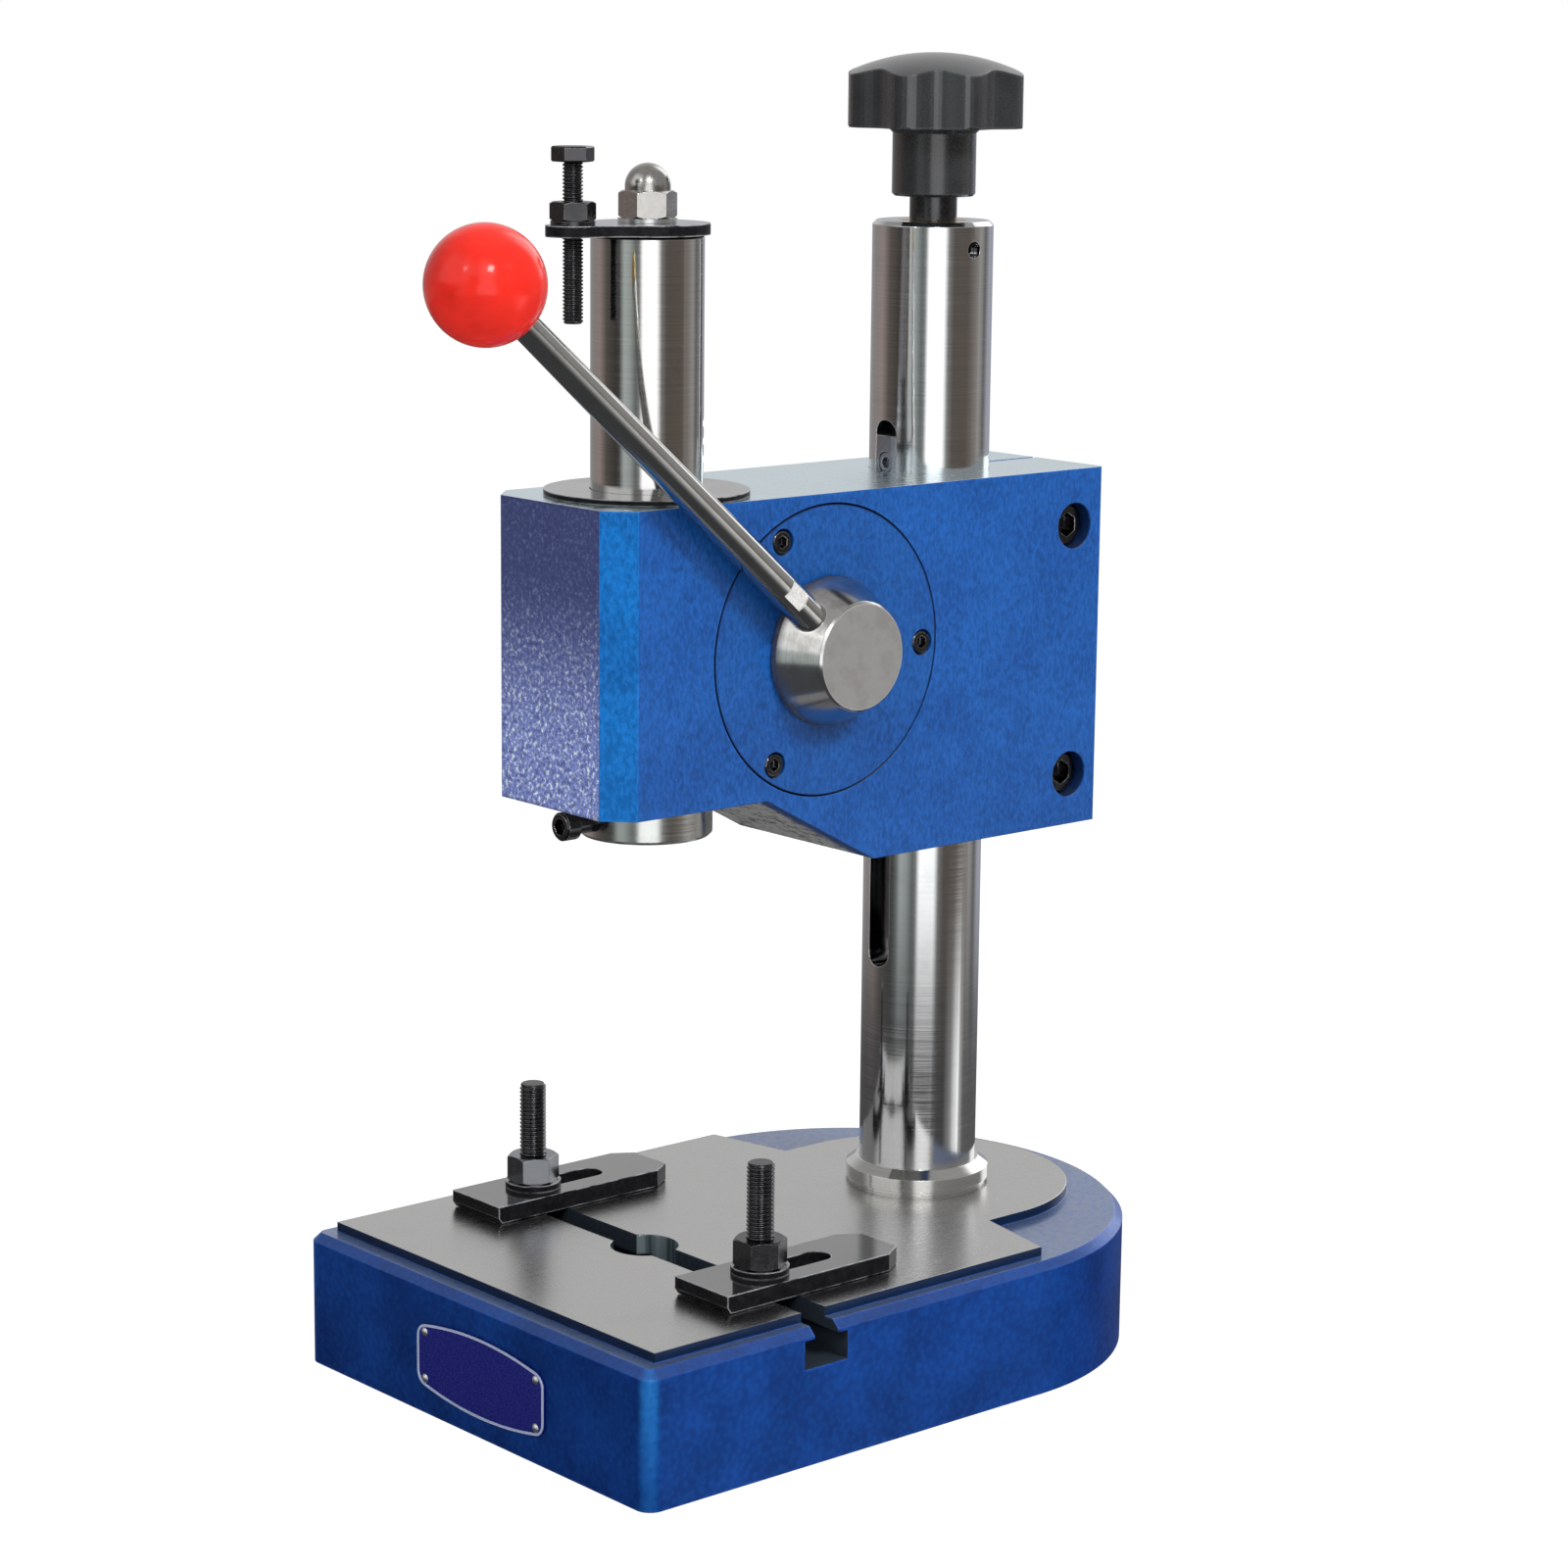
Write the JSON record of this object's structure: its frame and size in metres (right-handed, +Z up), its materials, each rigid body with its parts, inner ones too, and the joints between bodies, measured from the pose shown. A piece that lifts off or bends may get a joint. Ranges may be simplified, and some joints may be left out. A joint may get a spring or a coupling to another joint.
{
  "type": "hand press",
  "caption": "Bench hand press: a side lever turns a gear that drives a toothed ram down, and a star knob with a lead screw lifts the cast head on a round column over a T-slotted base.",
  "frame": {"origin": "centre of the hole under the ram, at the underside of the base", "axes": "+Z up along the column and the ram, +X to the lever side, -Y to the front"},
  "size_m": [0.202, 0.3324, 0.4834],
  "materials": {
    "base_paint": "hammered blue enamel on cast iron, table ground bare",
    "head_paint": "hammered blue enamel on cast iron, top ground bare",
    "cover_paint": "hammered blue enamel",
    "column_steel": "ground and hard-chromed steel",
    "ram_steel": "ground steel",
    "collar_steel": "turned steel",
    "polished_steel": "polished steel",
    "machine_steel": "machined steel",
    "screw_steel": "rolled screw thread",
    "spring_steel": "blued spring strip",
    "bronze": "cast bronze, turned",
    "brass": "turned brass",
    "black_oxide": "black oxide with a trace of oil",
    "black_plate": "black oxide, ground before blacking",
    "knob_black": "moulded black resin",
    "ball_red": "polished red resin",
    "name_blue": "enamelled plate with a bare silver border",
    "zinc": "bright zinc plate"
  },
  "bodies": {
    "base": {"base_casting": "base_paint", "column": "column_steel", "column_collar": "collar_steel", "foot_screw": "black_oxide", "foot_washer": "zinc", "top_bush": "bronze", "bush_pin": "black_oxide", "nameplate": "name_blue", "nameplate_rivets": "zinc"},
    "screw": {"lead_screw": "screw_steel", "thrust_ring": "black_oxide", "star_knob": "knob_black", "knob_insert": "brass", "knob_grub_screw": "black_oxide"},
    "head": {"head_casting": "head_paint", "gear_cover": "cover_paint", "gear_cover_screws": "black_oxide", "right_bush": "bronze", "left_bush": "bronze", "spring_cover": "cover_paint", "spring_cover_screws": "black_oxide", "spring_post": "machine_steel", "return_spring": "spring_steel", "wiper_ring": "black_plate", "lift_nut": "bronze", "lift_key": "machine_steel", "lift_key_screws": "black_oxide", "lift_bolt": "black_oxide"},
    "lever": {"drive_shaft": "polished_steel", "drive_gear": "machine_steel", "gear_key": "machine_steel", "lever_rod": "polished_steel", "ball_knob": "ball_red", "ball_insert": "brass"},
    "ram_group": {"ram": "ram_steel", "nose_collar": "collar_steel", "ram_stud": "machine_steel", "stop_plate": "black_plate", "cap_nut": "polished_steel", "cap_washer": "zinc", "lock_nut": "black_oxide", "lock_washer": "black_oxide"},
    "stop": {"stop_screw": "black_oxide"},
    "tool_clamp": {"tool_screw": "black_oxide"},
    "upper_clamp": {"upper_clamp_screw": "black_oxide"},
    "lower_clamp": {"lower_clamp_screw": "black_oxide"},
    "left_clamp": {"left_t_bolt": "black_oxide", "left_clamp_nut": "black_oxide", "left_clamp_washer": "black_plate"},
    "right_clamp": {"right_t_bolt": "black_oxide", "right_clamp_nut": "black_oxide", "right_clamp_washer": "black_plate"},
    "left_strap_body": {"left_strap": "black_plate"},
    "right_strap_body": {"right_strap": "black_plate"}
  },
  "joints": [
    {"name": "head_lift", "type": "slide", "parent": "base", "child": "head", "axis": [0, 0, 1], "range_m": [-0.13, 0]},
    {"name": "knob_turn", "type": "hinge", "parent": "base", "child": "screw", "pos_m": [0, 0.136, 0.45], "axis": [0, 0, 1], "range_deg": [-0.1, 11700.2]},
    {"name": "lever_turn", "type": "hinge", "parent": "head", "child": "lever", "pos_m": [0, 0.053, 0.274], "axis": [1, 0, 0], "range_deg": [0, 88.9], "stiffness_Nm_per_rad": 1, "springref_deg": -91.67, "deforming": ["return_spring"]},
    {"name": "ram_slide", "type": "slide", "parent": "head", "child": "ram_group", "axis": [0, 0, -1], "range_m": [0, 0.059]},
    {"name": "stop_set", "type": "slide", "parent": "ram_group", "child": "stop", "axis": [0, 0, 1], "range_m": [-0.013, 0.012]},
    {"name": "tool_screw_out", "type": "slide", "parent": "ram_group", "child": "tool_clamp", "axis": [0, -1, 0], "range_m": [0, 0.006]},
    {"name": "upper_clamp_turn", "type": "hinge", "parent": "head", "child": "upper_clamp", "pos_m": [0.0375, 0.1764, 0.309], "axis": [1, 0, 0], "range_deg": [0, 90]},
    {"name": "lower_clamp_turn", "type": "hinge", "parent": "head", "child": "lower_clamp", "pos_m": [0.0375, 0.1764, 0.214], "axis": [1, 0, 0], "range_deg": [0, 90]},
    {"name": "left_clamp_slide", "type": "slide", "parent": "base", "child": "left_clamp", "axis": [1, 0, 0], "range_m": [-0.016, 0.018]},
    {"name": "right_clamp_slide", "type": "slide", "parent": "base", "child": "right_clamp", "axis": [-1, 0, 0], "range_m": [-0.016, 0.018]},
    {"name": "left_strap_turn", "type": "hinge", "parent": "left_clamp", "child": "left_strap_body", "pos_m": [-0.067, 0, 0.06], "axis": [0, 0, 1], "range_deg": [-45, 45]},
    {"name": "right_strap_turn", "type": "hinge", "parent": "right_clamp", "child": "right_strap_body", "pos_m": [0.065, 0, 0.06], "axis": [0, 0, 1], "range_deg": [-45, 45]}
  ],
  "couplings": [
    {"joint": "knob_turn", "follows": "head_lift", "rad_per_m": -1570.8},
    {"joint": "ram_slide", "follows": "lever_turn", "m_per_rad": 0.038}
  ]
}
